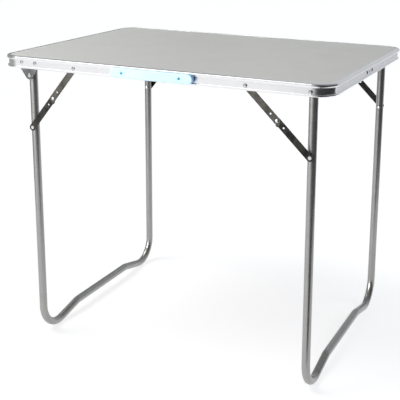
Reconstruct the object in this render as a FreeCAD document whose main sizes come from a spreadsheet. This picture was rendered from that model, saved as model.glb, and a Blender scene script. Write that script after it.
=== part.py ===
"""Folding camping table: a board in a bent aluminium edge frame, two U-shaped tube legs
that fold under it, and a two-link locking stay at each corner.

Millimetres. +X runs along the length, -Y is the side with the carrying handle, +Z is up,
and the origin is on the floor below the middle of the top.
"""
import FreeCAD, Part
import Sketcher
import math
import os
import re
from FreeCAD import Placement, Rotation, Vector

PARTS_FOLDER = "parts"
FRONT = Vector(0, -1, 0)
BACK = Vector(0, 1, 0)
RIGHT = Vector(1, 0, 0)
SIDES = (("front", FRONT), ("back", BACK))
ACROSS = Vector(0, 1, 0)
UP = Vector(0, 0, 1)
SPARE = 4.0   # how far a cutting shape reaches past what it cuts

DRIVING = (
    ("table_length", 800.0), ("table_width", 600.0), ("table_height", 698.5),
    # edge frame: the section of the bent extrusion
    ("frame_height", 27.0), ("corner_radius", 45.0), ("top_bead_radius", 4.25),
    ("low_bead_radius", 2.75), ("web_thickness", 1.2), ("lip_inset", 8.0),
    ("ledge_inset", 16.0), ("butt_gap", 0.4), ("butt_offset", -8.0),
    # board
    ("board_thickness", 4.0), ("facing_thickness", 0.6), ("board_play", 0.35),
    # legs
    ("tube_radius", 9.5), ("tube_wall", 1.1), ("corner_bend", 62.0), ("joggle_bend", 40.0),
    ("joggle_angle", 12.0), ("bar_rise", 18.0), ("nose_radius", 10.0),
    ("left_pivot_reach", -322.0), ("left_pivot_height", 657.0), ("left_splay", 0.0),
    ("left_half_top", 277.0), ("left_half_foot", 281.0), ("left_nose_offset", 2.5),
    ("right_pivot_reach", 353.0), ("right_pivot_height", 681.5), ("right_splay", 1.4),
    ("right_half_top", 274.5), ("right_half_foot", 279.0), ("right_nose_offset", 0.0),
    # stays
    ("stay_rivet_height", 682.0), ("left_stay_reach", -201.0), ("right_stay_reach", 213.0),
    ("left_stay_drop", 123.5), ("right_stay_drop", 136.5), ("link_width", 15.0),
    ("link_thickness", 1.2), ("link_gap", 0.2), ("link_outer", 292.7),
    ("dimple_spacing", 20.0), ("dimple_radius", 2.2), ("tab_play", 0.3),
    ("tab_start", 4.0), ("tab_length", 6.0),
    # bracket that hangs the left leg below the frame
    ("bracket_thickness", 1.5), ("bracket_half", 25.0), ("bracket_hole_half", 18.0),
    ("bracket_hole_height", 685.5), ("bracket_top", 691.5), ("bracket_shoulder", 674.5),
    ("bracket_tip_radius", 10.0), ("bracket_slant", 35.0),
    # rivets, spacers and washers
    ("pivot_rivet_radius", 3.0), ("stay_rivet_radius", 2.5), ("rivet_play", 0.05),
    ("rivet_head_radius", 4.5), ("rivet_head_height", 1.8), ("flush_radius", 3.9),
    ("centre_head_radius", 4.0), ("centre_head_height", 1.4), ("tail_thickness", 0.8),
    ("tail_radius", 3.7), ("spacer_radius", 6.0), ("spacer_gap", 0.35), ("face_gap", 0.1),
    ("shape_overrun", 1.0),
    # butt joint of the frame
    ("sleeve_length", 80.0), ("sleeve_height", 11.0), ("sleeve_thickness", 1.2),
    ("joint_rivet_spacing", 20.5), ("joint_height", 683.0), ("joint_rivet_radius", 3.2),
    ("joint_head_radius", 4.3), ("joint_head_height", 1.3),
    # handle
    ("handle_length", 198.0), ("handle_height", 21.0), ("handle_front", 311.0),
    ("handle_back", 300.3), ("handle_middle", 685.5), ("handle_wall", 2.5),
    ("handle_edge", 2.0), ("handle_fixing", 69.0), ("boss_radius", 4.3),
    ("finger_half", 58.0), ("handle_rivet_radius", 2.0), ("recess_radius", 3.4),
    ("recess_depth", 1.6), ("handle_head_height", 1.2), ("handle_head_play", 0.3),
)

doc = FreeCAD.newDocument("folding_table")
sheet = doc.addObject("Spreadsheet::Sheet", "sizes")
size = {}
nodes = []


# ---------------------------------------------------------------- sizes

def put(name, value):
    """Writes one named size into the next row of the sheet."""
    row = len(size) + 1
    sheet.set("A%d" % row, name)
    sheet.set("B%d" % row, "%.5f" % value)
    sheet.setAlias("B%d" % row, name)
    size[name] = round(value, 5)


def bind(item, field, formula):
    """Binds a property to a formula written with the sheet's own names."""
    item.setExpression(field, re.sub(r"\b([a-z]+_[a-z_]+)\b", r"sizes.\1", formula))


def heading(angle):
    """Unit vector in the side view, at an angle above +X."""
    return Vector(math.cos(math.radians(angle)), 0, math.sin(math.radians(angle)))


def angle_of(vector):
    """Angle above +X of a vector in the side view."""
    return math.degrees(math.atan2(vector.z, vector.x))


def work_out_stack():
    """Distances from the middle of the table to the faces that lie between web and tube."""
    put("web_inset", size["top_bead_radius"] + size["web_thickness"])
    put("web_outer", size["table_width"] / 2 - size["top_bead_radius"])
    put("web_inner", size["table_width"] / 2 - size["web_inset"])
    put("frame_bottom", size["table_height"] - size["frame_height"])
    put("lip_bottom", size["table_height"] - size["web_thickness"])
    put("ledge_top", size["lip_bottom"] - size["board_thickness"])
    put("board_inset", size["web_inset"] + size["board_play"])
    put("facing_inset", size["lip_inset"] + size["board_play"])
    put("end_shift", (size["table_length"] - size["table_width"]) / 2)
    put("link_inner", size["link_outer"] - size["link_thickness"])
    put("lower_outer", size["link_inner"] - size["link_gap"])
    put("lower_inner", size["lower_outer"] - size["link_thickness"])
    put("bracket_inner", size["web_inner"] - size["bracket_thickness"])


def half_at(side, drop):
    """Half spacing of a leg's tubes at a distance below its pivot."""
    top = size[side + "_half_top"]
    spread = size[side + "_half_foot"] - top
    return top + spread * drop / size[side + "_pivot_height"]


def work_out_stay(side, inward):
    """Link lengths that make a stay straight when open and shut flat along the frame."""
    pivot = Vector(size[side + "_pivot_reach"], 0, size[side + "_pivot_height"])
    rivet = Vector(size[side + "_stay_reach"], 0, size["stay_rivet_height"])
    drop = size[side + "_stay_drop"]
    leg_open = pivot + heading(-90.0 - inward * size[side + "_splay"]) * drop
    leg_shut = pivot + Vector(inward * drop, 0, 0)
    span = leg_open - rivet
    shut = rivet - leg_shut
    upper = (span.Length ** 2 - shut.Length ** 2) / (2 * (span.Length + shut.x * inward))
    put(side + "_upper_link", upper)
    put(side + "_lower_link", span.Length - upper)
    put(side + "_drop_reach", leg_open.x)
    put(side + "_drop_height", leg_open.z)
    put(side + "_drop_half", half_at(side, drop))
    return {"inward": inward, "pivot": pivot, "frame_end": rivet, "leg_end": leg_open,
            "down": angle_of(span)}


for name, amount in DRIVING:
    put(name, amount)
work_out_stack()
STAYS = {"left": work_out_stay("left", 1), "right": work_out_stay("right", -1)}
doc.recompute()


# ---------------------------------------------------------------- building blocks

def new_body(label):
    """PartDesign body that becomes a node of that name."""
    body = doc.addObject("PartDesign::Body", label)
    nodes.append(body)
    return body


def new_sketch(body, name, role, offset=0.0):
    """Sketch on one of the body's own origin planes, moved along the plane's normal."""
    plane = [item for item in body.Origin.OriginFeatures if item.Role == role][0]
    sketch = body.newObject("Sketcher::SketchObject", body.Name + "_" + name)
    sketch.AttachmentSupport = [(plane, "")]
    sketch.MapMode = "FlatFace"
    sketch.AttachmentOffset = Placement(UP * offset, Rotation())
    return sketch


def hold(sketch, name, constraint, formula):
    """Adds a sizing constraint and binds it to the sheet."""
    number = sketch.addConstraint(constraint)
    sketch.renameConstraint(number, name)
    bind(sketch, "Constraints." + name, formula)


def add_loop(sketch, points, bulges=None):
    """Closed outline; bulges maps a corner's number to the mid point of the arc after it."""
    bulges = bulges or {}
    flat = [Vector(across, along, 0) for across, along in points]
    for number, first in enumerate(flat):
        last = flat[(number + 1) % len(flat)]
        if number in bulges:
            middle = Vector(bulges[number][0], bulges[number][1], 0)
            sketch.addGeometry(Part.Arc(first, middle, last))
        else:
            sketch.addGeometry(Part.LineSegment(first, last))


def add_route(sketch, points, bends):
    """Open route of straight runs; bends are the radii at the inner points."""
    flat = [Vector(across, along, 0) for across, along in points]
    here = flat[0]
    for number, bend in enumerate(bends):
        before, corner, after = flat[number:number + 3]
        back = (before - corner).normalize()
        ahead = (after - corner).normalize()
        half_turn = back.getAngle(ahead) / 2
        setback = bend / math.tan(half_turn)
        middle_line = (back + ahead).normalize()
        middle = corner + middle_line * (bend / math.sin(half_turn) - bend)
        sketch.addGeometry(Part.LineSegment(here, corner + back * setback))
        sketch.addGeometry(Part.Arc(corner + back * setback, middle, corner + ahead * setback))
        here = corner + ahead * setback
    sketch.addGeometry(Part.LineSegment(here, flat[-1]))


def add_circle(sketch, name, across, along, radius):
    """Circle held by two distances, its radius bound to the sheet."""
    index = sketch.addGeometry(Part.Circle(Vector(across, along, 0), UP, 1.0))
    sketch.addConstraint(Sketcher.Constraint("DistanceX", -1, 1, index, 3, across))
    sketch.addConstraint(Sketcher.Constraint("DistanceY", -1, 1, index, 3, along))
    hold(sketch, name, Sketcher.Constraint("Radius", index, 1.0), radius)


def add_slot(sketch, reach, radius):
    """Flat bar with round ends, from the sketch's origin to a reach along its first axis."""
    far, round_end = size[reach], 1.0
    near_arc = Part.ArcOfCircle(Part.Circle(Vector(), UP, round_end), math.pi / 2, 1.5 * math.pi)
    far_circle = Part.Circle(Vector(far, 0, 0), UP, round_end)
    far_arc = Part.ArcOfCircle(far_circle, -math.pi / 2, math.pi / 2)
    near_end = sketch.addGeometry(near_arc)
    far_end = sketch.addGeometry(far_arc)
    top = sketch.addGeometry(Part.LineSegment(Vector(far, 1, 0), Vector(0, 1, 0)))
    low = sketch.addGeometry(Part.LineSegment(Vector(0, -1, 0), Vector(far, -1, 0)))
    sketch.addConstraint(Sketcher.Constraint("Coincident", near_end, 3, -1, 1))
    sketch.addConstraint(Sketcher.Constraint("PointOnObject", far_end, 3, -1))
    sketch.addConstraint(Sketcher.Constraint("Tangent", top, 2, near_end, 1))
    sketch.addConstraint(Sketcher.Constraint("Tangent", near_end, 2, low, 1))
    sketch.addConstraint(Sketcher.Constraint("Tangent", low, 2, far_end, 1))
    sketch.addConstraint(Sketcher.Constraint("Tangent", far_end, 2, top, 1))
    sketch.addConstraint(Sketcher.Constraint("Equal", near_end, far_end))
    hold(sketch, "reach", Sketcher.Constraint("DistanceX", -1, 1, far_end, 3, far), reach)
    hold(sketch, "round_end", Sketcher.Constraint("Radius", near_end, round_end), radius)


def pad(body, sketch, length, name="pad", midplane=False):
    feature = body.newObject("PartDesign::Pad", body.Name + "_" + name)
    feature.Profile = sketch
    feature.Midplane = midplane
    bind(feature, "Length", length)
    doc.recompute()
    return feature


def cut(body, sketch, name, length=None, both_ways=False, forwards=False):
    """Pocket, through everything unless a length is given; forwards follows the normal."""
    before = body.Shape.Volume
    feature = body.newObject("PartDesign::Pocket", body.Name + "_" + name)
    feature.Profile = sketch
    feature.Midplane = both_ways
    feature.Reversed = forwards
    if length is None:
        feature.Type = "ThroughAll"
    else:
        bind(feature, "Length", length)
    doc.recompute()
    if not body.Shape.Volume < before - 0.01:
        raise RuntimeError("%s: %s cut nothing" % (body.Label, name))
    return feature


def lay(item, across, up, outward, near):
    """Points a primitive's own axis outward, with its base at a distance from the middle."""
    item.Placement = Placement(Vector(), Rotation(UP, outward))
    if outward == RIGHT:
        bind(item, "Placement.Base.x", near)
        bind(item, "Placement.Base.y", across)
    else:
        bind(item, "Placement.Base.x", across)
        bind(item, "Placement.Base.y", "%d * (%s)" % (outward.y, near))
    bind(item, "Placement.Base.z", up)
    return item


def pin(radius, across, up, outward, near, far):
    """Round bar from one distance to another."""
    item = doc.addObject("Part::Cylinder", "pin")
    bind(item, "Radius", radius)
    bind(item, "Height", "%s - (%s)" % (far, near))
    return lay(item, across, up, outward, near)


def taper(first, last, across, up, outward, near, far):
    """Cone frustum from one distance to another."""
    item = doc.addObject("Part::Cone", "taper")
    bind(item, "Radius1", first)
    bind(item, "Radius2", last)
    bind(item, "Height", "%s - (%s)" % (far, near))
    return lay(item, across, up, outward, near)


def dome(radius, height, across, up, outward, face, inwards=False):
    """Low round rivet head standing on a face, or under it when it points inwards."""
    ball = "((%s)^2 + (%s)^2) / (2 * (%s))" % (radius, height, height)
    item = doc.addObject("Part::Sphere", "dome")
    bind(item, "Radius", ball)
    bind(item, "Angle1", "asin(1 - (%s) / (%s))" % (height, ball))
    item.Angle2 = 90
    if inwards:
        lay(item, across, up, outward, "%s - (%s) + %s" % (face, height, ball))
        item.Placement = Placement(item.Placement.Base, Rotation(UP, outward * -1))
        return item
    return lay(item, across, up, outward, "%s + (%s) - %s" % (face, height, ball))


def fuse(label, pieces):
    """One node from primitives; the ones that don't touch stay separate solids."""
    node = doc.addObject("Part::MultiFuse", label)
    node.Shapes = pieces
    nodes.append(node)
    return node


def tube_ring(label, spots, near, far):
    """Group of short tubes round the pivot rivets: (across, up, outward, bore) each."""
    whole = [pin("spacer_radius", *spot[:3], near, far) for spot in spots]
    bores = [pin(spot[3] + " + rivet_play", *spot[:3], near + " - shape_overrun",
                 far + " + shape_overrun") for spot in spots]
    outside = doc.addObject("Part::MultiFuse", label + "_outside")
    outside.Shapes = whole
    inside = doc.addObject("Part::MultiFuse", label + "_inside")
    inside.Shapes = bores
    node = doc.addObject("Part::Cut", label)
    node.Base = outside
    node.Tool = inside
    nodes.append(node)
    return node


# ---------------------------------------------------------------- top

def build_layer(label, bottom, thickness, inset):
    """Flat sheet with rounded corners, set in from the outside of the frame."""
    body = new_body(label)
    sketch = new_sketch(body, "outline", "XY_Plane", bottom)
    half_length = size["table_length"] / 2 - size[inset]
    half_width = size["table_width"] / 2 - size[inset]
    corners = ((-half_length, -half_width), (half_length, -half_width),
               (half_length, half_width), (-half_length, half_width))
    add_loop(sketch, corners)
    for number in range(4):
        following = (number + 1) % 4
        sketch.addConstraint(Sketcher.Constraint("Coincident", number, 2, following, 1))
    for number, kind in enumerate(("Horizontal", "Vertical", "Horizontal", "Vertical")):
        sketch.addConstraint(Sketcher.Constraint(kind, number))
    sketch.addConstraint(Sketcher.Constraint("Symmetric", 0, 1, 2, 1, -1, 1))
    hold(sketch, "along", Sketcher.Constraint("DistanceX", 0, 1, 0, 2, 2 * half_length),
         "table_length - 2 * " + inset)
    hold(sketch, "deep", Sketcher.Constraint("DistanceY", 1, 1, 1, 2, 2 * half_width),
         "table_width - 2 * " + inset)
    sheet_pad = pad(body, sketch, thickness)
    edges = ["Edge%d" % (number + 1) for number, edge in enumerate(sheet_pad.Shape.Edges)
             if abs(edge.tangentAt(edge.FirstParameter).z) > 0.9]
    corner = body.newObject("PartDesign::Fillet", label + "_corners")
    corner.Base = (sheet_pad, edges)
    bind(corner, "Radius", "corner_radius - " + inset)


def frame_section():
    """Section of the extrusion: top bead and lip, web, board ledge and low bead."""
    outer = size["table_length"] / 2
    top = size["table_height"]
    bottom = size["frame_bottom"]
    bead = size["top_bead_radius"]
    low_bead = size["low_bead_radius"]
    web_face = outer - bead
    web_back = outer - size["web_inset"]
    ledge = size["ledge_top"]
    wall = size["web_thickness"]
    points = (
        (outer - size["lip_inset"], top), (web_face, top), (web_face, top - 2 * bead),
        (web_face, bottom + 2 * low_bead), (web_face, bottom), (web_back, bottom),
        (web_back, ledge - wall), (outer - size["ledge_inset"], ledge - wall),
        (outer - size["ledge_inset"], ledge), (web_back, ledge), (web_back, top - wall),
        (outer - size["lip_inset"], top - wall),
    )
    bulges = {1: (outer, top - bead), 3: (web_face + low_bead, bottom + low_bead)}
    return points, bulges


def add_frame_route(sketch):
    """Rounded rectangle that starts and ends half way along the right-hand end."""
    half_length = size["table_length"] / 2
    half_width = size["table_width"] / 2
    corners = ((half_length, 0), (half_length, half_width), (-half_length, half_width),
               (-half_length, -half_width), (half_length, -half_width), (half_length, 0))
    add_route(sketch, corners, [size["corner_radius"]] * 4)


def build_edge_frame():
    """Extrusion bent round the board, its two ends meeting on the right-hand end."""
    body = new_body("edge_frame")
    route = new_sketch(body, "route", "XY_Plane", size["table_height"])
    add_frame_route(route)
    section = new_sketch(body, "section", "XZ_Plane")
    points, bulges = frame_section()
    add_loop(section, points, bulges)
    pipe = body.newObject("PartDesign::AdditivePipe", "edge_frame_sweep")
    pipe.Profile = section
    pipe.Spine = (route, [])
    doc.recompute()
    rivets = new_sketch(body, "rivet_holes", "XZ_Plane")
    small = "stay_rivet_radius + rivet_play"
    for name, reach in (("stay_left", "left_stay_reach"), ("stay_right", "right_stay_reach")):
        add_circle(rivets, name, size[reach], size["stay_rivet_height"], small)
    for name, step in (("bracket_out", -1), ("bracket_in", 1)):
        across = size["left_pivot_reach"] + step * size["bracket_hole_half"]
        add_circle(rivets, name, across, size["bracket_hole_height"], small)
    add_circle(rivets, "pivot", size["right_pivot_reach"], size["right_pivot_height"],
               "pivot_rivet_radius + rivet_play")
    cut(body, rivets, "rivet_cut", both_ways=True)
    handle = new_sketch(body, "handle_holes", "XZ_Plane")
    for name, step in (("handle_left", -1), ("handle_right", 1)):
        add_circle(handle, name, step * size["handle_fixing"], size["handle_middle"],
                   "handle_rivet_radius + rivet_play")
    cut(body, handle, "handle_cut", forwards=True)
    joint = new_sketch(body, "joint_holes", "YZ_Plane")
    for name, step in (("joint_front", -1), ("joint_pip", 0), ("joint_back", 1)):
        across = size["butt_offset"] + step * size["joint_rivet_spacing"]
        add_circle(joint, name, across, size["joint_height"], "joint_rivet_radius + rivet_play")
    cut(body, joint, "joint_cut", forwards=True)
    butt = new_sketch(body, "butt", "YZ_Plane")
    near = size["butt_offset"] - size["butt_gap"] / 2
    far = size["butt_offset"] + size["butt_gap"] / 2
    low = size["frame_bottom"] - SPARE
    high = size["table_height"] + SPARE
    add_loop(butt, ((near, low), (far, low), (far, high), (near, high)))
    cut(body, butt, "butt_cut", forwards=True)


def build_joint_sleeve():
    """Strip behind the web that joins the frame's ends, with a pip that sits between them."""
    body = new_body("frame_joint_sleeve")
    outline = new_sketch(body, "outline", "YZ_Plane", size["web_inner"] + size["end_shift"])
    middle = size["butt_offset"]
    half = size["sleeve_length"] / 2
    low = size["joint_height"] - size["sleeve_height"] / 2
    high = low + size["sleeve_height"]
    add_loop(outline, ((middle - half, low), (middle + half, low),
                       (middle + half, high), (middle - half, high)))
    strip = pad(body, outline, "sleeve_thickness")
    strip.Reversed = True
    doc.recompute()
    holes = new_sketch(body, "holes", "YZ_Plane")
    for name, step in (("front", -1), ("back", 1)):
        add_circle(holes, name, middle + step * size["joint_rivet_spacing"],
                   size["joint_height"], "joint_rivet_radius + rivet_play")
    cut(body, holes, "hole_cut", forwards=True)
    pip = new_sketch(body, "pip", "YZ_Plane", size["web_inner"] + size["end_shift"])
    add_circle(pip, "pip", middle, size["joint_height"], "joint_rivet_radius")
    pad(body, pip, "web_thickness", "pip_pad")


def build_joint_rivets():
    reach = "web_outer + end_shift"
    inner = "web_inner + end_shift - sleeve_thickness"
    pieces = []
    for step in (-1, 1):
        spot = ("butt_offset + %d * joint_rivet_spacing" % step, "joint_height", RIGHT)
        pieces.append(pin("joint_rivet_radius", *spot, inner + " - tail_thickness", reach))
        pieces.append(dome("joint_head_radius", "joint_head_height", *spot, reach))
        pieces.append(pin("joint_head_radius", *spot, inner + " - tail_thickness", inner))
    fuse("frame_joint_rivets", pieces)


# ---------------------------------------------------------------- handle

def build_handle():
    """Moulded grip: a hollow bar with round ends, open behind and below for the fingers."""
    body = new_body("carry_handle")
    middle = size["handle_middle"]
    half_height = size["handle_height"] / 2
    straight = size["handle_length"] / 2 - half_height
    wall = size["handle_wall"]
    outside = new_sketch(body, "outside", "XZ_Plane", size["handle_back"])
    add_capsule(outside, middle, straight, half_height)
    bar = pad(body, outside, "handle_front - handle_back")
    front_edges = ["Edge%d" % (number + 1) for number, edge in enumerate(bar.Shape.Edges)
                   if edge.BoundBox.YMax < -size["handle_front"] + 0.01]
    rounding = body.newObject("PartDesign::Fillet", "carry_handle_rounding")
    rounding.Base = (bar, front_edges)
    bind(rounding, "Radius", "handle_edge")
    doc.recompute()
    hollow = new_sketch(body, "hollow", "XZ_Plane", size["handle_back"])
    add_capsule(hollow, middle, straight, half_height - wall)
    cut(body, hollow, "hollow_cut", "handle_front - handle_back - handle_wall", forwards=True)
    fingers = new_sketch(body, "fingers", "XZ_Plane", size["handle_back"])
    reach = size["finger_half"]
    low = middle - half_height - SPARE
    high = middle - half_height + wall + SPARE / 2
    add_loop(fingers, ((-reach, low), (reach, low), (reach, high), (-reach, high)))
    cut(body, fingers, "finger_cut", "handle_front - handle_back - handle_wall", forwards=True)
    bosses = new_sketch(body, "bosses", "XZ_Plane", size["web_outer"] + size["face_gap"])
    holes = new_sketch(body, "holes", "XZ_Plane", size["web_outer"])
    recesses = new_sketch(body, "recesses", "XZ_Plane",
                          size["handle_front"] - size["recess_depth"])
    for name, step in (("left", -1), ("right", 1)):
        across = step * size["handle_fixing"]
        add_circle(bosses, name, across, middle, "boss_radius")
        add_circle(holes, name, across, middle, "handle_rivet_radius + rivet_play")
        add_circle(recesses, name, across, middle, "recess_radius")
    pad(body, bosses, "handle_front - handle_wall / 2 - web_outer - face_gap", "boss_pad")
    cut(body, holes, "hole_cut", forwards=True)
    cut(body, recesses, "recess_cut", forwards=True)


def add_capsule(sketch, middle, straight, radius):
    """Long outline with two half-round ends, lying along the sketch's first axis."""
    points = ((-straight, middle - radius), (straight, middle - radius),
              (straight, middle + radius), (-straight, middle + radius))
    bulges = {1: (straight + radius, middle), 3: (-straight - radius, middle)}
    add_loop(sketch, points, bulges)


def build_handle_rivets():
    seat = "handle_front - recess_depth"
    pieces = []
    for step in (-1, 1):
        spot = ("%d * handle_fixing" % step, "handle_middle", FRONT)
        pieces.append(pin("handle_rivet_radius", *spot, "web_inner - tail_thickness", seat))
        pieces.append(dome("recess_radius - handle_head_play", "handle_head_height", *spot, seat))
        pieces.append(pin("tail_radius", *spot, "web_inner - tail_thickness", "web_inner"))
    fuse("handle_rivets", pieces)


# ---------------------------------------------------------------- left leg's brackets

def build_bracket(side, outward):
    """Flat plate behind the web whose rounded tip carries the left leg below the frame."""
    body = new_body("left_bracket_" + side)
    depth = size["web_inner"] if outward == FRONT else -size["bracket_inner"]
    plate = new_sketch(body, "plate", "XZ_Plane", depth)
    centre = size["left_pivot_reach"]
    height = size["left_pivot_height"]
    half = size["bracket_half"]
    tip = size["bracket_tip_radius"]
    slant = heading(-size["bracket_slant"]) * tip
    top = size["bracket_top"]
    shoulder = size["bracket_shoulder"]
    points = ((centre - half, top), (centre - half, shoulder),
              (centre - slant.x, height + slant.z), (centre + slant.x, height + slant.z),
              (centre + half, shoulder), (centre + half, top))
    add_loop(plate, points, {2: (centre, height - tip)})
    flat = pad(body, plate, "bracket_thickness")
    flat.Reversed = True
    doc.recompute()
    holes = new_sketch(body, "holes", "XZ_Plane")
    add_circle(holes, "pivot", centre, height, "pivot_rivet_radius + rivet_play")
    for name, step in (("outer", -1), ("inner", 1)):
        across = centre + step * size["bracket_hole_half"]
        add_circle(holes, name, across, size["bracket_hole_height"],
                   "stay_rivet_radius + rivet_play")
    cut(body, holes, "hole_cut", both_ways=True)


def build_bracket_rivets():
    pieces = []
    for _, outward in SIDES:
        for step in (-1, 1):
            across = "left_pivot_reach + %d * bracket_hole_half" % step
            spot = (across, "bracket_hole_height", outward)
            tail = "bracket_inner - tail_thickness"
            pieces.append(pin("stay_rivet_radius", *spot, tail, "web_outer"))
            pieces.append(dome("rivet_head_radius", "rivet_head_height", *spot, "web_outer"))
            pieces.append(pin("tail_radius", *spot, tail, "bracket_inner"))
    fuse("bracket_rivets", pieces)


# ---------------------------------------------------------------- legs

def leg_route(side):
    """Centre line of a U leg below its pivot: foot bends, joggles and the raised floor bar."""
    slant = math.radians(size["joggle_angle"])
    bend = size["corner_bend"]
    drop = size[side + "_pivot_height"] - size["tube_radius"]
    foot = -drop / math.cos(math.radians(size[side + "_splay"]))
    half = size[side + "_half_foot"]
    leave = bend + bend * math.sin(slant)
    leave_height = foot + bend - bend * math.cos(slant)
    corner = (half, leave_height - leave * math.tan(slant))
    raised = foot + size["bar_rise"]
    turn = (half - leave - (raised - leave_height) / math.tan(slant), raised)
    start = (size[side + "_half_top"], size["nose_radius"] + SPARE)
    right = (start, corner, turn)
    left = [(-across, along) for across, along in right]
    return left + list(reversed(right))


def build_leg(side):
    """One bent tube: two uprights with rounded tops, foot bends and a raised floor bar."""
    body = new_body(side + "_leg")
    route = new_sketch(body, "route", "YZ_Plane")
    points = leg_route(side)
    bends = [size["corner_bend"], size["joggle_bend"], size["joggle_bend"], size["corner_bend"]]
    add_route(route, points, bends)
    ring = new_sketch(body, "ring", "XY_Plane", points[0][1])
    for name, radius in (("outside", "tube_radius"), ("inside", "tube_radius - tube_wall")):
        index = ring.addGeometry(Part.Circle(Vector(0, points[0][0], 0), UP, 1.0))
        ring.addConstraint(Sketcher.Constraint("PointOnObject", index, 3, -2))
        ring.addConstraint(Sketcher.Constraint("DistanceY", index, 3, -1, 1, -points[0][0]))
        hold(ring, name, Sketcher.Constraint("Radius", index, 1.0), radius)
    pipe = body.newObject("PartDesign::AdditivePipe", side + "_leg_sweep")
    pipe.Profile = ring
    pipe.Spine = (route, [])
    doc.recompute()
    cut(body, nose_outline(body, side), "nose_cut", both_ways=True)
    holes = new_sketch(body, "holes", "XZ_Plane")
    add_circle(holes, "stay", 0.0, -size[side + "_stay_drop"], "stay_rivet_radius + rivet_play")
    cut(body, holes, "stay_cut", both_ways=True)
    pivot = new_sketch(body, "pivot_hole", "XZ_Plane")
    index = pivot.addGeometry(Part.Circle(Vector(), UP, 1.0))
    pivot.addConstraint(Sketcher.Constraint("Coincident", index, 3, -1, 1))
    hold(pivot, "bore", Sketcher.Constraint("Radius", index, 1.0),
         "pivot_rivet_radius + rivet_play")
    cut(body, pivot, "pivot_cut", both_ways=True)
    stay = STAYS[side]
    lean = stay["inward"] * size[side + "_splay"]
    body.Placement = Placement(stay["pivot"], Rotation(ACROSS, lean))


def nose_outline(body, side):
    """Waste above the rounded top end of the uprights, seen from the side."""
    nose = new_sketch(body, "nose", "XZ_Plane")
    middle = size[side + "_nose_offset"]
    radius = size["nose_radius"]
    high = middle + radius + 2 * SPARE
    wide = radius + SPARE
    points = ((-wide, high), (-wide, middle), (-radius, middle), (radius, middle),
              (wide, middle), (wide, high))
    add_loop(nose, points, {2: (0.0, middle + radius)})
    return nose


def build_pivot_rivets(side, seat):
    """Rivets that carry one leg: a head outside, a shank through the tube, a tail inside."""
    reach = side + "_pivot_reach"
    height = side + "_pivot_height"
    tube_back = side + "_half_top - tube_radius - face_gap"
    pieces = []
    for _, outward in SIDES:
        spot = (reach, height, outward)
        pieces.append(pin("pivot_rivet_radius", *spot, tube_back + " - shape_overrun", seat))
        pieces.append(dome("rivet_head_radius", "rivet_head_height", *spot, seat))
        pieces.append(dome("rivet_head_radius", "rivet_head_height", *spot, tube_back,
                           inwards=True))
    fuse(side + "_pivot_rivets", pieces)


def build_pivot_spacers(side, plate):
    """Bushes that hold the tube away from the plate it hangs on."""
    spots = [(side + "_pivot_reach", side + "_pivot_height", outward, "pivot_rivet_radius")
             for _, outward in SIDES]
    tube_ring(side + "_pivot_spacers", spots, side + "_half_top + tube_radius + spacer_gap",
              plate)


# ---------------------------------------------------------------- stays

def build_link(side, side_name, outward, level, with_tab):
    """Flat steel link with an eye at each end, modelled along +X from its fixed eye."""
    label = "%s_%s_stay_%s_link" % (side_name, side, level)
    body = new_body(label)
    reach = "%s_%s_link" % (side, level)
    outer = size["link_outer"] if level == "upper" else size["lower_outer"]
    near = outer if outward == FRONT else -(outer - size["link_thickness"])
    plate = new_sketch(body, "plate", "XZ_Plane", near)
    add_slot(plate, reach, "link_width / 2")
    strip = pad(body, plate, "link_thickness")
    strip.Reversed = True
    doc.recompute()
    if with_tab:
        add_stop_tab(body, side, outward, near, size[reach])
    holes = new_sketch(body, "holes", "XZ_Plane")
    add_circle(holes, "centre_eye", size[reach], 0.0, "stay_rivet_radius + rivet_play")
    add_circle(holes, "dimple", size[reach] - size["dimple_spacing"], 0.0, "dimple_radius")
    cut(body, holes, "hole_cut", both_ways=True)
    add_flush_eye(body, outward, level)
    stay = STAYS[side]
    if level == "upper":
        body.Placement = Placement(stay["frame_end"], Rotation(ACROSS, -stay["down"]))
    else:
        body.Placement = Placement(stay["leg_end"], Rotation(ACROSS, -stay["down"] - 180.0))


def add_stop_tab(body, side, outward, near, reach):
    """Ear on the outer edge beyond the centre rivet, folded over the lower link's edge."""
    low = size["link_width"] / 2 + size["tab_play"]
    high = low + size["link_thickness"]
    start = reach + size["tab_start"]
    end = start + size["tab_length"]
    edge = STAYS[side]["inward"]
    ear = new_sketch(body, "ear", "XZ_Plane", near)
    add_loop(ear, ((start, 0.0), (end, 0.0), (end, edge * high), (start, edge * high)))
    flat = pad(body, ear, "link_thickness", "ear_pad")
    flat.Reversed = True
    doc.recompute()
    fold = new_sketch(body, "fold", "XZ_Plane", -outward.y * size["link_outer"])
    add_loop(fold, ((start, edge * low), (end, edge * low), (end, edge * high),
                    (start, edge * high)))
    depth = "2 * link_thickness + link_gap"
    tab = pad(body, fold, depth, "tab_pad")
    tab.Reversed = outward == FRONT
    doc.recompute()


def add_flush_eye(body, outward, level):
    """Countersunk eye at the fixed end, for a rivet head that ends level with the plate."""
    groove = new_sketch(body, "countersink", "XY_Plane")
    sign = outward.y
    inner = size["link_inner"] if level == "upper" else size["lower_inner"]
    outer = inner + size["link_thickness"]
    small = size["stay_rivet_radius"] + size["rivet_play"]
    wide = size["flush_radius"] + size["rivet_play"]
    at_inner, at_outer = (wide, small) if level == "upper" else (small, wide)
    points = ((0.0, sign * inner), (at_inner, sign * inner), (at_outer, sign * outer),
              (0.0, sign * outer))
    add_loop(groove, points)
    before = body.Shape.Volume
    sink = body.newObject("PartDesign::Groove", body.Name + "_sink")
    sink.Profile = groove
    sink.ReferenceAxis = (groove, ["V_Axis"])
    sink.Angle = 360
    doc.recompute()
    if not body.Shape.Volume < before - 0.01:
        raise RuntimeError(body.Label + ": countersink cut nothing")


def centre_of(side):
    """Where the two links meet when the stay is open."""
    stay = STAYS[side]
    return stay["frame_end"] + heading(stay["down"]) * size[side + "_upper_link"]


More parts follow.
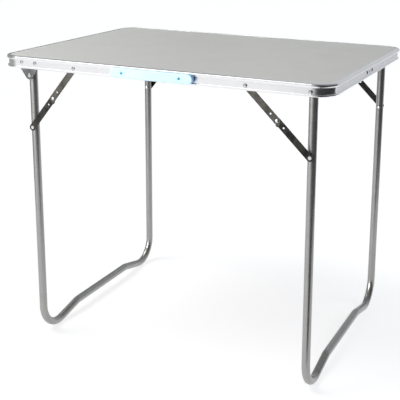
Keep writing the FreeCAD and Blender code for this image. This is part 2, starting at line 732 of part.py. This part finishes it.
def build_centre_rivet(side, side_name, outward):
    """Centre rivet: head and shank in the upper link, tail in the lower link."""
    spot = (side + "_centre_reach", side + "_centre_height", outward)
    name = "%s_%s_stay_centre_" % (side_name, side)
    head = dome("centre_head_radius", "centre_head_height", *spot, "link_outer")
    shank = pin("stay_rivet_radius", *spot, "link_inner", "link_outer")
    fuse(name + "rivet", [head, shank])
    stub = pin("stay_rivet_radius", *spot, "lower_inner - tail_thickness", "lower_outer")
    tail = pin("tail_radius", *spot, "lower_inner - tail_thickness", "lower_inner")
    fuse(name + "rivet_tail", [stub, tail])


def build_frame_stay_rivets():
    """Rivets from the outside of the web to the upper links, flush in the links."""
    pieces = []
    spots = []
    for side in STAYS:
        for _, outward in SIDES:
            spot = (side + "_stay_reach", "stay_rivet_height", outward)
            pieces.append(pin("stay_rivet_radius", *spot, "link_outer", "web_outer"))
            pieces.append(dome("rivet_head_radius", "rivet_head_height", *spot, "web_outer"))
            pieces.append(taper("flush_radius", "stay_rivet_radius", *spot, "link_inner",
                                "link_outer"))
            spots.append(spot + ("stay_rivet_radius",))
    fuse("stay_frame_rivets", pieces)
    tube_ring("stay_frame_spacers", spots, "link_outer + face_gap", "web_inner")


def build_leg_stay_rivets(side):
    """Rivets from the lower links through the tube, flush in the links."""
    pieces = []
    spots = []
    tube_back = side + "_drop_half - tube_radius - face_gap"
    for _, outward in SIDES:
        spot = (side + "_drop_reach", side + "_drop_height", outward)
        pieces.append(pin("stay_rivet_radius", *spot, tube_back + " - shape_overrun",
                          "lower_inner"))
        pieces.append(taper("stay_rivet_radius", "flush_radius", *spot, "lower_inner",
                            "lower_outer"))
        pieces.append(dome("centre_head_radius", "centre_head_height", *spot, tube_back,
                           inwards=True))
        spots.append(spot + ("stay_rivet_radius",))
    fuse(side + "_leg_stay_rivets", pieces)
    tube_ring(side + "_leg_stay_washers", spots, side + "_drop_half + tube_radius + face_gap",
              "lower_inner - face_gap")


# ---------------------------------------------------------------- assembly

def build_table():
    build_layer("table_board", size["ledge_top"], "board_thickness", "board_inset")
    build_layer("board_facing", size["lip_bottom"], "facing_thickness", "facing_inset")
    build_edge_frame()
    build_joint_sleeve()
    build_joint_rivets()
    build_handle()
    build_handle_rivets()
    for name, outward in SIDES:
        build_bracket(name, outward)
    build_bracket_rivets()
    for side, seat, plate in (("left", "web_inner", "bracket_inner"),
                              ("right", "web_outer", "web_inner - spacer_gap")):
        build_leg(side)
        build_pivot_rivets(side, seat)
        build_pivot_spacers(side, plate)
        build_leg_stay_rivets(side)
        for name, outward in SIDES:
            build_link(side, name, outward, "upper", with_tab=True)
            build_link(side, name, outward, "lower", with_tab=False)
            build_centre_rivet(side, name, outward)
    build_frame_stay_rivets()


def check_document():
    """Stops the build if any object failed or any node has no sound shape."""
    doc.recompute()
    for item in doc.Objects:
        if "Invalid" in item.State or "Error" in item.State:
            raise RuntimeError("failed object: " + item.Name)
    for node in nodes:
        if node.Shape.isNull() or not node.Shape.isValid() or not node.Shape.Solids:
            raise RuntimeError("unsound shape: " + node.Label)


def write_parts():
    os.makedirs(PARTS_FOLDER, exist_ok=True)
    for node in nodes:
        node.Shape.exportStep(os.path.join(PARTS_FOLDER, node.Label + ".step"))
        print("%-34s %2d solids %12.1f mm3"
              % (node.Label, len(node.Shape.Solids), node.Shape.Volume))


for end in STAYS:
    put(end + "_centre_reach", centre_of(end).x)
    put(end + "_centre_height", centre_of(end).z)
doc.recompute()
build_table()
check_document()
write_parts()
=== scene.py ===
import math

import bpy
from mathutils import Matrix, Vector

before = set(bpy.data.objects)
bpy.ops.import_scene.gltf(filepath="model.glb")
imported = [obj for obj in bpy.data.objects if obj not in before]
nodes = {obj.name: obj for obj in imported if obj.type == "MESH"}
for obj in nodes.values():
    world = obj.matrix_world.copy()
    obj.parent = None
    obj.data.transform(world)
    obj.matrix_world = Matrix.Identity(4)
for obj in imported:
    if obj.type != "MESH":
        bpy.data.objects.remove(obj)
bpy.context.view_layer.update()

# ---------------------------------------------------------------- camera
# A long lens at about waist height, in front of the table's right end and tipped down a
# little, so that the whole table fills the square frame.

CAMERA_PLACE = Vector((0.888955, -1.96263, 1.022288))
CAMERA_TURN = 0.435
CAMERA_TIP = 0.316
CAMERA_ROLL = 0.012
SENSOR_WIDTH = 36.0
LENS = 79.95
SIGHT_END = 100


def place_camera():
    turn_sin, turn_cos = math.sin(CAMERA_TURN), math.cos(CAMERA_TURN)
    ahead = Vector((-turn_sin * math.cos(CAMERA_TIP), turn_cos * math.cos(CAMERA_TIP),
                    -math.sin(CAMERA_TIP)))
    level = Vector((turn_cos, turn_sin, 0))
    above = level.cross(ahead)
    right = math.cos(CAMERA_ROLL) * level + math.sin(CAMERA_ROLL) * above
    up = math.cos(CAMERA_ROLL) * above - math.sin(CAMERA_ROLL) * level
    data = bpy.data.cameras.new("camera")
    data.sensor_width = SENSOR_WIDTH
    data.lens = LENS
    data.clip_end = SIGHT_END
    camera = bpy.data.objects.new("camera", data)
    bpy.context.scene.collection.objects.link(camera)
    turned = Matrix((right, up, -ahead)).transposed().to_4x4()
    camera.matrix_world = Matrix.Translation(CAMERA_PLACE) @ turned
    bpy.context.scene.camera = camera


place_camera()

# ---------------------------------------------------------------- edge frame
# One length of extruded aluminium, bent round the board and left bare. The die leaves fine
# lines along it, and handling has dulled and scuffed it in patches.


class Socket:
    """One output in a material's nodes, worked with like a number."""

    MIX_FIRST = 6
    MIX_SECOND = 7
    MIX_RESULT = 2

    def __init__(self, tree, output):
        self.tree = tree
        self.output = output

    def node(self, kind, settings, inputs, output=0):
        """Adds a node of a type: first its settings, then its sockets' values or links."""
        added = self.tree.nodes.new(kind)
        for name, value in settings.items():
            setattr(added, name, value)
        for name, value in inputs.items():
            if isinstance(value, Socket):
                self.tree.links.new(value.output, added.inputs[name])
            else:
                added.inputs[name].default_value = value
        return Socket(self.tree, added.outputs[output])

    def maths(self, operation, *values):
        return self.node("ShaderNodeMath", {"operation": operation},
                         dict(enumerate((self,) + values)))

    def __add__(self, other):
        return self.maths("ADD", other)

    def __mul__(self, other):
        return self.maths("MULTIPLY", other)

    def __sub__(self, other):
        return self.maths("SUBTRACT", other)

    def __rsub__(self, other):
        return self.node("ShaderNodeMath", {"operation": "SUBTRACT"}, {0: other, 1: self})

    def __pow__(self, other):
        return self.maths("POWER", other)

    def __abs__(self):
        return self.maths("ABSOLUTE")

    __radd__ = __add__
    __rmul__ = __mul__

    def part(self, axis):
        """One of a vector's three numbers."""
        return self.node("ShaderNodeSeparateXYZ", {}, {0: self}, axis)

    def stretched(self, *scale):
        """This place, with each direction scaled on its own."""
        return self.node("ShaderNodeVectorMath", {"operation": "MULTIPLY"}, {0: self, 1: scale})

    def noise(self, scale, detail=2.0, roughness=0.5):
        return self.node("ShaderNodeTexNoise", {},
                         {"Vector": self, "Scale": scale, "Detail": detail,
                          "Roughness": roughness})

    def ramp(self, low, high):
        """0 below low, 1 above high, and smooth between them."""
        return self.node("ShaderNodeMapRange", {"interpolation_type": "SMOOTHSTEP"},
                         {"Value": self, "From Min": low, "From Max": high})

    def tint(self, first, second):
        """A colour between two, this far along."""
        return self.node("ShaderNodeMix", {"data_type": "RGBA"},
                         {"Factor": self, self.MIX_FIRST: first, self.MIX_SECOND: second},
                         self.MIX_RESULT)

    def bump(self, height, strength):
        """A surface roughened by this socket, which runs from 0 to 1, times a height."""
        return self.node("ShaderNodeBump", {}, {"Height": self, "Distance": height,
                                                "Strength": strength})


def colour(red, green, blue):
    return (red, green, blue, 1.0)


def start_finish(name):
    """A new material, and the place on the table that its pattern is worked out from."""
    material = bpy.data.materials.new(name)
    material.use_nodes = True
    tree = material.node_tree
    tree.nodes.clear()
    place = tree.nodes.new("ShaderNodeTexCoord")
    return material, Socket(tree, place.outputs["Object"])


def close_finish(place, **inputs):
    """The surface itself. An input's name has its spaces written as underscores."""
    named = {name.replace("_", " "): value for name, value in inputs.items()}
    surface = place.node("ShaderNodeBsdfPrincipled", {}, named)
    outlet = place.tree.nodes.new("ShaderNodeOutputMaterial")
    place.tree.links.new(surface.output, outlet.inputs["Surface"])


def wear(material, *names):
    """Gives these CAD nodes a material."""
    for name in names:
        mesh = nodes[name].data
        if not mesh.materials:
            mesh.materials.append(material)
        for number in range(len(mesh.materials)):
            mesh.materials[number] = material


FRAME_HALF_LENGTH = 0.4
FRAME_HALF_WIDTH = 0.3
FRAME_CORNER = 0.045
ALUMINIUM = colour(0.93, 0.93, 0.94)
DULL_ALUMINIUM = colour(0.86, 0.86, 0.87)
LINES_ACROSS = 1500.0
LINES_ALONG = 6.0
LINE_DEPTH = 0.000004


def distance_from_middle(place):
    """How far out a point is across the frame's rails, measured square to the nearest rail."""
    straight = (FRAME_HALF_LENGTH - FRAME_CORNER, FRAME_HALF_WIDTH - FRAME_CORNER)
    along = abs(place.part(0)) - straight[0]
    across = abs(place.part(1)) - straight[1]
    inside = along.maths("MAXIMUM", across).maths("MINIMUM", 0.0)
    corner_along = along.maths("MAXIMUM", 0.0)
    corner_across = across.maths("MAXIMUM", 0.0)
    return (corner_along ** 2.0 + corner_across ** 2.0) ** 0.5 + inside


def make_aluminium():
    material, place = start_finish("bare_aluminium")
    out = distance_from_middle(place)
    height = place.part(2)
    lines_place = place.node("ShaderNodeCombineXYZ", {},
                             {0: out * LINES_ACROSS, 1: height * LINES_ACROSS,
                              2: place.part(0) * LINES_ALONG})
    lines = lines_place.noise(scale=1.0, detail=3.0, roughness=0.6)
    patches = place.noise(scale=9.0, detail=3.0, roughness=0.6)
    scratches = place.stretched(60.0, 60.0, 220.0).noise(scale=1.0, detail=4.0, roughness=0.65)
    scuffs = scratches.ramp(low=0.58, high=0.78)
    dullness = patches.ramp(low=0.35, high=0.75)
    shade = (dullness * 0.5 + scuffs * 0.15 + lines * 0.2).tint(ALUMINIUM, DULL_ALUMINIUM)
    close_finish(place, Base_Color=shade, Metallic=1.0,
                 Roughness=0.19 + lines * 0.05 + dullness * 0.06 + scuffs * 0.04,
                 Normal=lines.bump(LINE_DEPTH, strength=0.3))
    return material


wear(make_aluminium(), "edge_frame")

# ---------------------------------------------------------------- board
# Fibreboard with a light grey laminate printed in a fine, soft fleck, satin to the touch.
# Below, the raw board shows the mesh it was pressed on and the fibres in it.

LIGHT_GREY = colour(0.54, 0.54, 0.525)
MID_GREY = colour(0.47, 0.47, 0.455)
PALE_FLECK = colour(0.64, 0.64, 0.63)
BOARD_BROWN = colour(0.32, 0.24, 0.165)
BOARD_DARK = colour(0.20, 0.145, 0.095)
PRINT_DEPTH = 0.00008
MESH_DEPTH = 0.0003


def make_laminate():
    material, place = start_finish("grey_laminate")
    cloud = place.noise(scale=14.0, detail=3.0, roughness=0.55)
    fleck = place.noise(scale=420.0, detail=2.0, roughness=0.6)
    fine = place.noise(scale=1600.0, detail=1.0)
    print_colour = fleck.ramp(low=0.38, high=0.62).tint(MID_GREY, LIGHT_GREY)
    pale = (fine.ramp(low=0.55, high=0.8) * 0.5).tint(print_colour, PALE_FLECK)
    rubbed = cloud.ramp(low=0.4, high=0.7)
    close_finish(place, Base_Color=pale, Roughness=0.38 + fleck * 0.1 + rubbed * 0.06,
                 Specular_IOR_Level=0.3,
                 Normal=(fleck * 0.7 + fine * 0.3).bump(PRINT_DEPTH, strength=0.35))
    return material


def make_fibreboard():
    material, place = start_finish("fibreboard")
    fibres = place.stretched(160.0, 420.0, 160.0).noise(scale=1.0, detail=4.0, roughness=0.7)
    wires = [place.node("ShaderNodeTexWave", {"wave_type": "BANDS", "bands_direction": axis},
                        {"Vector": place, "Scale": 160.0, "Distortion": 1.5, "Detail": 1.0})
             for axis in "XY"]
    mesh_mark = wires[0] * wires[1]
    darkness = fibres.ramp(low=0.3, high=0.7) * 0.8 + mesh_mark * 0.2
    close_finish(place, Base_Color=darkness.tint(BOARD_DARK, BOARD_BROWN),
                 Roughness=0.75 + fibres * 0.15,
                 Normal=(fibres * 0.5 + mesh_mark * 0.5).bump(MESH_DEPTH, strength=0.6))
    return material


wear(make_laminate(), "board_facing")
wear(make_fibreboard(), "table_board")

# ---------------------------------------------------------------- joint of the frame
# A steel strip behind the web joins the frame's two ends, with two rivets through it and a
# pressed pip that sits in the gap between them. Strip, pip and rivet heads are painted nearly
# black: painted shade for the dark reflections on the three marks.

# Near-black: painted shade for the dark reflections on the strip's pip and the rivet heads.
STRIP_DARK = colour(0.06, 0.062, 0.066)
STRIP_PALE = colour(0.13, 0.133, 0.14)
RIVET_SHADE_DARK = colour(0.012, 0.014, 0.02)
RIVET_SHADE_PALE = colour(0.04, 0.045, 0.06)


def make_metal(name, dark, pale, metallic, roughness, grain, depth, gloss=0.5):
    """A small piece's finish, with a fine grain, cloudy colour and a few worn spots."""
    material, place = start_finish(name)
    cloud = place.noise(scale=45.0, detail=3.0, roughness=0.6)
    fine = place.noise(scale=grain, detail=2.0, roughness=0.6)
    worn = place.noise(scale=150.0, detail=4.0, roughness=0.7).ramp(low=0.62, high=0.78)
    mixed = cloud.ramp(low=0.3, high=0.7) * 0.6 + fine * 0.25 + worn * 0.3
    close_finish(place, Base_Color=mixed.tint(dark, pale), Metallic=metallic,
                 Roughness=roughness + cloud * 0.1 + fine * 0.06 - worn * 0.08,
                 Specular_IOR_Level=gloss,
                 Normal=fine.bump(depth, strength=0.5))
    return material


wear(make_metal("sleeve_steel", STRIP_DARK, STRIP_PALE, metallic=1.0, roughness=0.3,
                grain=900.0, depth=0.00003), "frame_joint_sleeve")
wear(make_metal("dark_rivet", RIVET_SHADE_DARK, RIVET_SHADE_PALE, metallic=0.3, roughness=0.35,
                grain=700.0, depth=0.00003), "frame_joint_rivets")

# ---------------------------------------------------------------- carrying handle
# A hollow grip moulded in light blue plastic with a fine sparked texture, uneven in colour
# and scuffed from being carried. Two darker blue plugs hold it to the front rail.

SKY_BLUE = colour(0.34, 0.60, 0.97)
PALE_BLUE = colour(0.50, 0.73, 0.99)
PLUG_BLUE = colour(0.03, 0.16, 0.27)
PLUG_PALE = colour(0.10, 0.33, 0.43)
SPARK_DEPTH = 0.00003


def make_blue_plastic():
    material, place = start_finish("blue_plastic")
    cloud = place.noise(scale=30.0, detail=2.0)
    spark = place.noise(scale=1400.0, detail=2.0, roughness=0.6)
    scratches = place.stretched(40.0, 90.0, 300.0).noise(scale=1.0, detail=4.0, roughness=0.7)
    scuffs = scratches.ramp(low=0.6, high=0.8)
    close_finish(place, Base_Color=(cloud * 0.7 + scuffs * 0.4).tint(SKY_BLUE, PALE_BLUE),
                 Roughness=0.28 + spark * 0.08 + scuffs * 0.2, Coat_Weight=0.25,
                 Coat_Roughness=0.12, Normal=spark.bump(SPARK_DEPTH, strength=0.4))
    return material


wear(make_blue_plastic(), "carry_handle")
wear(make_metal("plug_blue", PLUG_BLUE, PLUG_PALE, metallic=0.2, roughness=0.3,
                grain=700.0, depth=0.00003), "handle_rivets")

# ---------------------------------------------------------------- legs
# Steel tube bent into a U with a raised floor bar, in a metallic grey powder coat. The coat
# has a fine orange-peel skin, metal flake in it, and is rubbed thin where the feet bear.

COAT_GREY = colour(0.30, 0.298, 0.292)
COAT_PALE = colour(0.42, 0.418, 0.41)
COAT_RUBBED = colour(0.52, 0.52, 0.525)
RUBBED_HEIGHT = 0.012
PEEL_DEPTH = 0.00006


def make_leg_paint():
    material, place = start_finish("leg_paint")
    peel = place.noise(scale=700.0, detail=2.0, roughness=0.5)
    flake = place.node("ShaderNodeTexVoronoi", {"feature": "F1"},
                       {"Vector": place, "Scale": 2600.0}, 1)
    sparkle = flake.part(0).ramp(low=0.6, high=1.0)
    cloud = place.noise(scale=25.0, detail=3.0, roughness=0.6)
    near_floor = 1.0 - place.part(2).ramp(low=0.0, high=RUBBED_HEIGHT)
    rubbed = near_floor * place.noise(scale=180.0, detail=3.0).ramp(low=0.4, high=0.6)
    coat = (cloud * 0.5 + sparkle * 0.4).tint(COAT_GREY, COAT_PALE)
    shade = rubbed.tint(coat, COAT_RUBBED)
    close_finish(place, Base_Color=shade, Metallic=0.88,
                 Roughness=0.24 + peel * 0.06 + cloud * 0.05 - sparkle * 0.06,
                 Normal=peel.bump(PEEL_DEPTH, strength=0.5))
    return material


wear(make_leg_paint(), "left_leg", "right_leg")

# ---------------------------------------------------------------- brackets and stays
# Punched steel: two plates behind the web that hang the left leg below the frame, and at each
# corner two flat links, the upper in a cloudy olive passivated plating, the lower much darker.

OLIVE = colour(0.030, 0.028, 0.024)
OLIVE_PALE = colour(0.095, 0.09, 0.08)
UMBER = colour(0.005, 0.005, 0.0045)
UMBER_PALE = colour(0.055, 0.052, 0.048)
PLATE_DARK = colour(0.06, 0.06, 0.062)
PLATE_PALE = colour(0.16, 0.16, 0.165)

CORNERS = ("front_left", "back_left", "front_right", "back_right")

wear(make_metal("bracket_steel", PLATE_DARK, PLATE_PALE, metallic=0.7, roughness=0.32,
                grain=800.0, depth=0.00004), "left_bracket_front", "left_bracket_back")
olive_plating = make_metal("upper_link_steel", OLIVE, OLIVE_PALE, metallic=0.6,
                           roughness=0.34, grain=600.0, depth=0.00005, gloss=0.35)
# The lower links are coloured much darker than the upper ones.
darker_lower_finish = make_metal("lower_link_steel", UMBER, UMBER_PALE, metallic=0.5,
                          roughness=0.34, grain=600.0, depth=0.00005, gloss=0.1)
for corner in CORNERS:
    wear(olive_plating, corner + "_stay_upper_link")
    wear(darker_lower_finish, corner + "_stay_lower_link")

# ---------------------------------------------------------------- rivets and bushes
# Aluminium rivets with low round heads, spun over and bright, and black nylon bushes that
# keep the tubes and links off the web.

RIVET_BRIGHT = colour(0.74, 0.74, 0.75)
RIVET_GREY = colour(0.55, 0.55, 0.56)
NYLON_BLACK = colour(0.012, 0.012, 0.013)
NYLON_GREY = colour(0.035, 0.035, 0.037)

wear(make_metal("rivet_aluminium", RIVET_BRIGHT, RIVET_GREY, metallic=1.0, roughness=0.15,
                grain=900.0, depth=0.00003),
     "bracket_rivets", "left_pivot_rivets", "right_pivot_rivets", "stay_frame_rivets",
     "left_leg_stay_rivets", "right_leg_stay_rivets",
     *[corner + "_stay_centre_rivet" + end for corner in CORNERS for end in ("", "_tail")])
wear(make_metal("spacer_plastic", NYLON_BLACK, NYLON_GREY, metallic=0.0, roughness=0.5,
                grain=500.0, depth=0.00008),
     "left_pivot_spacers", "right_pivot_spacers", "stay_frame_spacers",
     "left_leg_stay_washers", "right_leg_stay_washers")

# ---------------------------------------------------------------- studio
# A white floor that glows evenly, soft lights at the left front, over the board and at the
# back right, a weak sun for the shadows, and a dim room. Cloths and cards stand all round,
# dark in front and on the right and paler elsewhere, and only glossy surfaces show them.

FLOOR_HALF = 40.0
FLOOR_WHITE = colour(0.915, 0.915, 0.92)
FLOOR_GREY = colour(0.895, 0.897, 0.905)
FLOOR_GLOW = 0.685
ROOM_LIGHT = colour(0.90, 0.95, 1.0)
ROOM_STRENGTH = 0.30
KEY_WHITE = (1.0, 0.99, 0.97)
BOARD_WHITE = (1.0, 0.995, 0.95)
FILL_WHITE = (0.94, 0.97, 1.0)
CLOTH_BLACK = colour(0.0, 0.0, 0.0)
CLOTH_GREY = colour(0.045, 0.045, 0.048)
CARD_GREY = colour(0.56, 0.575, 0.60)
CARD_PALE = colour(0.59, 0.605, 0.63)
SLATE_GREY = colour(0.35, 0.35, 0.335)
SLATE_PALE = colour(0.38, 0.38, 0.365)
CARD_ABOVE_FLOOR = 0.02
CLOTH_ABOVE_FLOOR = 0.001
NO_PALING = (8.0, 9.0)


def add_sheet(name, corners):
    mesh = bpy.data.meshes.new(name)
    mesh.from_pydata(corners, [], [(0, 1, 2, 3)])
    piece = bpy.data.objects.new(name, mesh)
    bpy.context.scene.collection.objects.link(piece)
    return piece


def make_floor():
    floor = add_sheet("floor", [(x * FLOOR_HALF, y * FLOOR_HALF, 0)
                                for x, y in ((-1, -1), (1, -1), (1, 1), (-1, 1))])
    material, place = start_finish("floor_paint")
    cloud = place.noise(scale=0.8, detail=2.0)
    shade = cloud.tint(FLOOR_WHITE, FLOOR_GREY)
    close_finish(place, Base_Color=shade, Roughness=0.7 + cloud * 0.1,
                 Emission_Color=shade, Emission_Strength=FLOOR_GLOW)
    floor.data.materials.append(material)
    return floor


def add_card(name, corners, material):
    """A sheet that only a glossy surface shows."""
    card = add_sheet(name, corners)
    card.visible_camera = False
    card.visible_diffuse = False
    card.visible_shadow = False
    card.data.materials.append(material)


def hang_card(name, middle, facing, width, high, material):
    """An upright card, a little clear of the floor."""
    across = Vector((-facing[1], facing[0], 0)).normalized() * (width / 2)
    centre = Vector((middle[0], middle[1], 0))
    low = Vector((0, 0, CARD_ABOVE_FLOOR))
    top = Vector((0, 0, high))
    add_card(name, [centre - across + low, centre + across + low,
                    centre + across + top, centre - across + top], material)


def make_card(name, dark, pale, middle=0.0, reach=NO_PALING):
    """A card's finish, whose brightness is its own. It pales to white over a reach on its
    left, unless the reach is further off than any card stands."""
    material, place = start_finish(name)
    nap = place.noise(scale=400.0, detail=2.0)
    paling = (middle - place.part(0)).ramp(*reach)
    close_finish(place, Base_Color=CLOTH_BLACK, Roughness=1.0, Specular_IOR_Level=0.0,
                 Emission_Color=paling.tint(nap.tint(dark, pale), FLOOR_WHITE),
                 Emission_Strength=1.0)
    return material


def add_light(name, place, aim, width, height, power, tone):
    data = bpy.data.lights.new(name, "AREA")
    data.shape = "RECTANGLE"
    data.size = width
    data.size_y = height
    data.energy = power
    data.color = tone
    light = bpy.data.objects.new(name, data)
    bpy.context.scene.collection.objects.link(light)
    light.location = place
    light.rotation_euler = (Vector(aim) - Vector(place)).to_track_quat("-Z", "Y").to_euler()
    return light


def add_sun(name, source, spread, strength, tone):
    """An even light from far off. It falls all over the floor alike, with soft shadows."""
    data = bpy.data.lights.new(name, "SUN")
    data.angle = spread
    data.energy = strength
    data.color = tone
    light = bpy.data.objects.new(name, data)
    bpy.context.scene.collection.objects.link(light)
    light.rotation_euler = Vector(source).to_track_quat("Z", "Y").to_euler()


def keep_off(light, *pieces):
    """This light doesn't fall on those pieces."""
    shaded = bpy.data.collections.new(light.name + "_kept_off")
    for piece in pieces:
        shaded.objects.link(piece)
    for entry in shaded.collection_objects:
        entry.light_linking.link_state = "EXCLUDE"
    light.light_linking.receiver_collection = shaded


def make_room():
    world = bpy.data.worlds.new("room")
    world.use_nodes = True
    background = world.node_tree.nodes["Background"]
    background.inputs["Color"].default_value = ROOM_LIGHT
    background.inputs["Strength"].default_value = ROOM_STRENGTH
    bpy.context.scene.world = world


floor = make_floor()
make_room()
dark_cloth = make_card("dark_cloth", CLOTH_BLACK, CLOTH_GREY)
grey_cloth = make_card("grey_cloth", CLOTH_BLACK, CLOTH_GREY, middle=0.83, reach=(0.1, 1.2))
grey_card = make_card("grey_card", CARD_GREY, CARD_PALE)
slate_card = make_card("slate_card", SLATE_GREY, SLATE_PALE)
white_card = make_card("white_card", FLOOR_GREY, FLOOR_WHITE)
hang_card("camera_cloth", middle=(0.83, -1.5), facing=(-0.45, 1.22), width=2.6, high=3.0,
          material=grey_cloth)
hang_card("right_cloth", middle=(1.5, -0.18), facing=(-1, 0), width=2.16, high=1.6,
          material=dark_cloth)
hang_card("left_card", middle=(-1.5, -0.4), facing=(1, 0), width=1.7, high=1.2,
          material=slate_card)
add_card("floor_cloth", [(x, y, CLOTH_ABOVE_FLOOR) for x, y in
                         ((0.45, -0.42), (0.80, -1.55), (1.49, -1.2), (1.49, -0.3))],
         dark_cloth)
hang_card("front_card", middle=(-1.3, -3.1), facing=(0.4, 1), width=4.0, high=3.2,
          material=white_card)
hang_card("back_card", middle=(0.9, 3.0), facing=(0, -1), width=4.2, high=3.2,
          material=grey_card)
hang_card("end_card", middle=(0.9, 1.1), facing=(0, -1), width=0.8, high=1.1,
          material=grey_card)
key = add_light("key", place=(-1.0, -2.3, 1.45), aim=(0, 0, 0.6), width=1.7, height=1.5,
                power=95.0, tone=KEY_WHITE)
keep_off(key, floor, nodes["edge_frame"], nodes["bracket_rivets"], nodes["left_pivot_rivets"],
         nodes["right_pivot_rivets"], nodes["stay_frame_rivets"])
board_light = add_light("board_light", place=(-1.4, 0.2, 1.9), aim=(-0.3, 0, 0.69), width=1.0,
                        height=1.0, power=13.0, tone=BOARD_WHITE)
keep_off(board_light, floor, nodes["edge_frame"])
add_sun("day", source=(-0.55, -0.3, 1.0), spread=0.45, strength=0.55, tone=KEY_WHITE)
add_light("fill", place=(2.4, 0.9, 1.9), aim=(0, 0, 0.6), width=1.0, height=1.0, power=6.0,
          tone=FILL_WHITE)
bpy.context.scene.view_settings.view_transform = "Standard"
